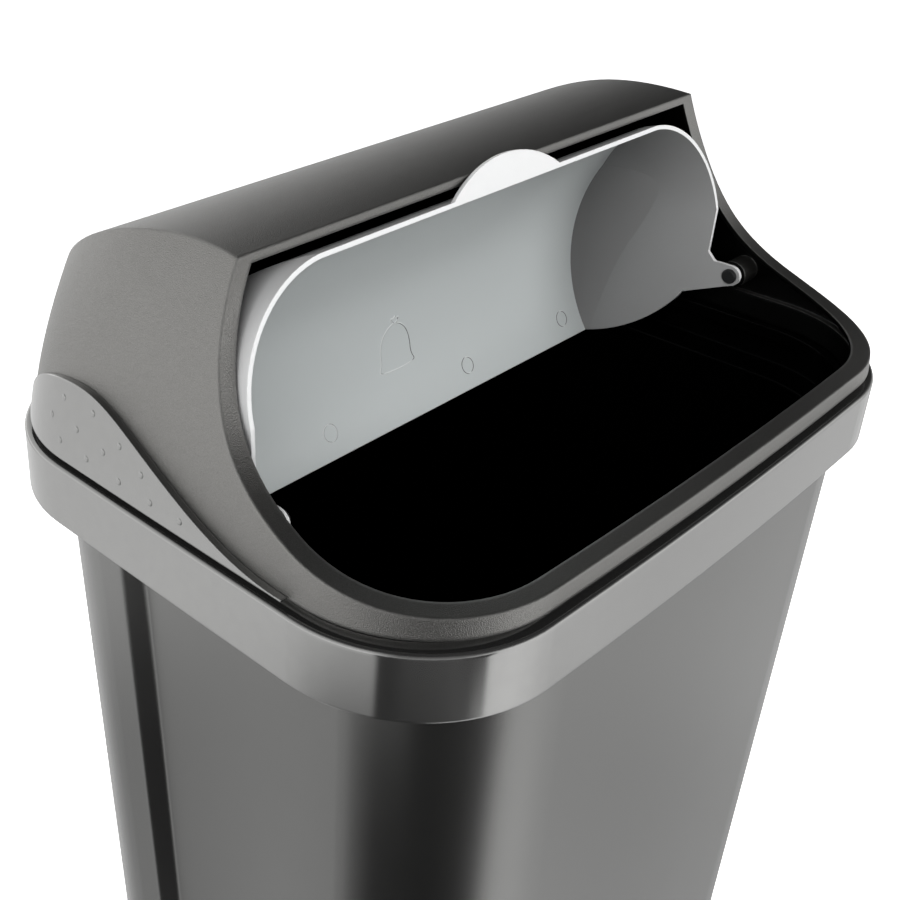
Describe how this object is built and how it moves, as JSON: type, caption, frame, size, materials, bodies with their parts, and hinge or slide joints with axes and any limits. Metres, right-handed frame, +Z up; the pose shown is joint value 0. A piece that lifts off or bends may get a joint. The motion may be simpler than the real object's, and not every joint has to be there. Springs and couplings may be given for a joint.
{
  "type": "swing-lid trash can",
  "caption": "Tapered rectangular kitchen bin: rim collar for the bag, lift-off scooped hood with side grips, and a roll-over flap with finger tab that swings open inside the hood",
  "frame": {"origin": "centre of the footprint on the floor, under the middle of the collar", "axes": "+X along the long side to the right, -Y front with the opening, +Z up"},
  "size_m": [0.4, 0.301, 0.6622],
  "materials": {
    "tub": "satin fine-grain warm dark grey polypropylene",
    "gloss_grey": "smooth gloss warm grey plastic",
    "hood": "pebble-textured warm dark grey plastic",
    "flap": "smooth white plastic, faintly grey inside",
    "pin": "black moulded nylon"
  },
  "bodies": {
    "tub": {"tub": "tub"},
    "collar": {"rim_collar": "gloss_grey"},
    "lid": {"hood": "hood", "grip_left": "gloss_grey", "grip_right": "gloss_grey", "flap_pin_left": "pin", "flap_pin_right": "pin"},
    "flap": {"flap": "flap"}
  },
  "joints": [
    {"name": "collar_lift", "type": "slide", "parent": "tub", "child": "collar", "axis": [0, 0, 1], "range_m": [0, 0.12]},
    {"name": "lid_lift", "type": "slide", "parent": "collar", "child": "lid", "axis": [0, 0, 1], "range_m": [0, 0.15]},
    {"name": "flap_swing", "type": "hinge", "parent": "lid", "child": "flap", "pos_m": [0, -0.0475, 0.5593], "axis": [1, 0, 0], "range_deg": [0, 109]}
  ]
}
